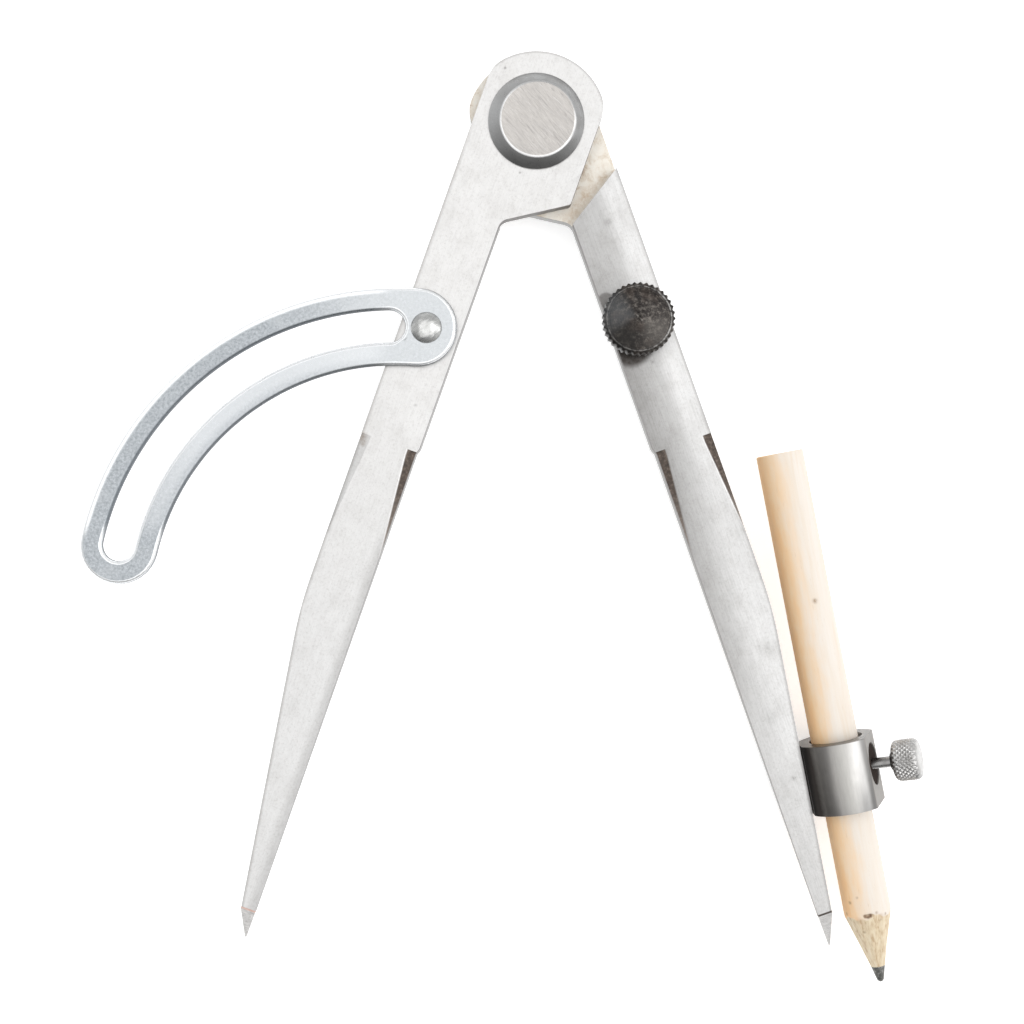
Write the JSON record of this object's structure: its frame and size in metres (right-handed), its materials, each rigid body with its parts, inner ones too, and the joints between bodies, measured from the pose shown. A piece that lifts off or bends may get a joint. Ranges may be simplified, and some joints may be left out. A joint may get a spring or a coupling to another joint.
{
  "type": "woodworking wing compass",
  "caption": "Steel wing compass with lap-jointed legs, a slotted lock arc and thumb knob, hard points, and a ring clamp holding a short round pencil; lies flat, opened.",
  "frame": {"origin": "on the pivot axis, at the flat rear face of the pivot washer", "axes": "+Z out of the compass's front face, along the pivot axis; +Y from the points towards the head; +X to the right, towards the pencil"},
  "size_m": [0.134, 0.1487, 0.0158],
  "materials": {
    "leg_steel": "satin ground steel",
    "point_steel": "ground hardened steel",
    "braze": "dull braze metal",
    "rivet_steel": "ground steel with a darkened chamfer",
    "zinc_plate": "bluish zinc plating with a fine spangle",
    "black_oxide": "black oxide",
    "clamp_steel": "bright turned steel",
    "pencil_wood": "bare natural wood",
    "graphite": "dull graphite"
  },
  "bodies": {
    "needle_arm": {"needle_leg": "leg_steel", "needle_point": "point_steel", "needle_point_braze": "braze", "pivot_rivet": "rivet_steel", "pivot_rear_washer": "rivet_steel", "arc_rivet": "rivet_steel"},
    "pencil_arm": {"pencil_leg": "leg_steel", "pencil_leg_point": "point_steel", "pencil_leg_point_braze": "braze", "clamp_ring": "clamp_steel", "clamp_ring_braze": "braze"},
    "arc": {"lock_arc": "zinc_plate"},
    "lock_shank": {"lock_screw": "black_oxide"},
    "lock_grip": {"lock_knob": "black_oxide"},
    "clamp_shank": {"clamp_screw": "clamp_steel"},
    "clamp_grip": {"clamp_screw_head": "clamp_steel"},
    "pencil": {"pencil_wood": "pencil_wood", "pencil_graphite": "graphite"}
  },
  "joints": [
    {"name": "leg_hinge", "type": "hinge", "parent": "needle_arm", "child": "pencil_arm", "pos_m": [0, 0, 0], "axis": [0, 0, 1], "range_deg": [-39, 90]},
    {"name": "arc_swing", "type": "hinge", "parent": "needle_arm", "child": "arc", "pos_m": [-0.0174, -0.033, 0.0079], "axis": [0, 0, 1], "range_deg": [-108, 40]},
    {"name": "lock_screw_travel", "type": "slide", "parent": "pencil_arm", "child": "lock_shank", "axis": [0, 0, 1], "range_m": [0, 0.0028]},
    {"name": "lock_knob_turn", "type": "hinge", "parent": "lock_shank", "child": "lock_grip", "pos_m": [0.01593, -0.03199, 0.0091], "axis": [0, 0, 1], "range_deg": [-1, 1441]},
    {"name": "clamp_screw_travel", "type": "slide", "parent": "pencil_arm", "child": "clamp_shank", "axis": [0.9105, 0.1753, 0.3746], "range_m": [0, 0.0016]},
    {"name": "clamp_screw_turn", "type": "hinge", "parent": "clamp_shank", "child": "clamp_grip", "pos_m": [0.04905, -0.10319, 0.0043], "axis": [0.9105, 0.1753, 0.3746], "range_deg": [-1, 1441]},
    {"name": "pencil_slide", "type": "slide", "parent": "pencil_arm", "child": "pencil", "axis": [0.1891, -0.982, 0], "range_m": [-0.016, 0.03]}
  ],
  "couplings": [
    {"joint": "lock_knob_turn", "follows": "lock_screw_travel", "rad_per_m": 8976},
    {"joint": "clamp_screw_turn", "follows": "clamp_screw_travel", "rad_per_m": 15708}
  ]
}
